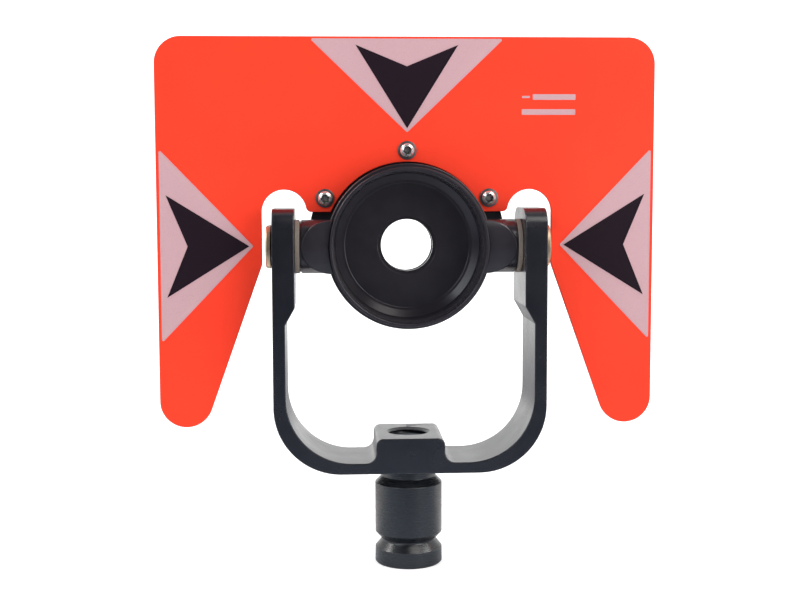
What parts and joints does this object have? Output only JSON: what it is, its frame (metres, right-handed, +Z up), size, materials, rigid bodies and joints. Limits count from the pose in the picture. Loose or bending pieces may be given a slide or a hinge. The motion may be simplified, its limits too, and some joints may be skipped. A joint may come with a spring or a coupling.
{
  "type": "survey prism holder",
  "caption": "Tilting prism holder with a flat sighting target, hung in a forked yoke on a round quick-release spigot for a surveying pole or tribrach.",
  "frame": {"origin": "centre of the tilt axis, on the cup's own axis", "axes": "+X along the tilt axis to the right as seen from the front, -Y the way the target and the cup face, +Z up, with the spigot pointing down"},
  "size_m": [0.1876, 0.0315, 0.1984],
  "materials": {
    "anodised_black": "satin black anodised",
    "spigot_black": "turned, dark grey anodised",
    "stud_steel": "machined end",
    "moulded_black": "satin black moulding",
    "target_orange": "fluorescent orange",
    "stainless": "polished",
    "washer_steel": "dull",
    "brass": "machined",
    "bush_black": "acetal",
    "spring_steel": "dark",
    "fibre_tan": "fibre",
    "reflective_film": "retroreflective, pale pink",
    "print_black": "screen-printed"
  },
  "bodies": {
    "yoke_assembly": {"yoke": "anodised_black", "spigot": "spigot_black", "spigot_stud": "stud_steel", "pivot_bush_left": "bush_black", "pivot_bush_right": "bush_black", "wave_washer_left": "spring_steel", "wave_washer_right": "spring_steel"},
    "tilting_head": {"prism_housing": "moulded_black", "target_plate": "target_orange", "plate_screws": "stainless", "plate_washers": "washer_steel", "plate_inserts": "brass", "trunnion_insert_left": "brass", "trunnion_insert_right": "brass", "friction_washer_left": "fibre_tan", "friction_washer_right": "fibre_tan", "reflector_top": "reflective_film", "reflector_left": "reflective_film", "reflector_right": "reflective_film", "chevron_top": "print_black", "chevron_left": "print_black", "chevron_right": "print_black"},
    "tension_screw_left": {"pivot_screw_left": "brass"},
    "tension_screw_right": {"pivot_screw_right": "brass"}
  },
  "joints": [
    {"name": "tilt", "type": "hinge", "parent": "yoke_assembly", "child": "tilting_head", "pos_m": [0, 0, 0], "axis": [1, 0, 0], "range_deg": [-115, 138]},
    {"name": "tension_left", "type": "hinge", "parent": "tilting_head", "child": "tension_screw_left", "pos_m": [-0.046, 0, 0], "axis": [1, 0, 0], "range_deg": [-45, 45]},
    {"name": "tension_right", "type": "hinge", "parent": "tilting_head", "child": "tension_screw_right", "pos_m": [0.046, 0, 0], "axis": [1, 0, 0], "range_deg": [-45, 45]}
  ]
}
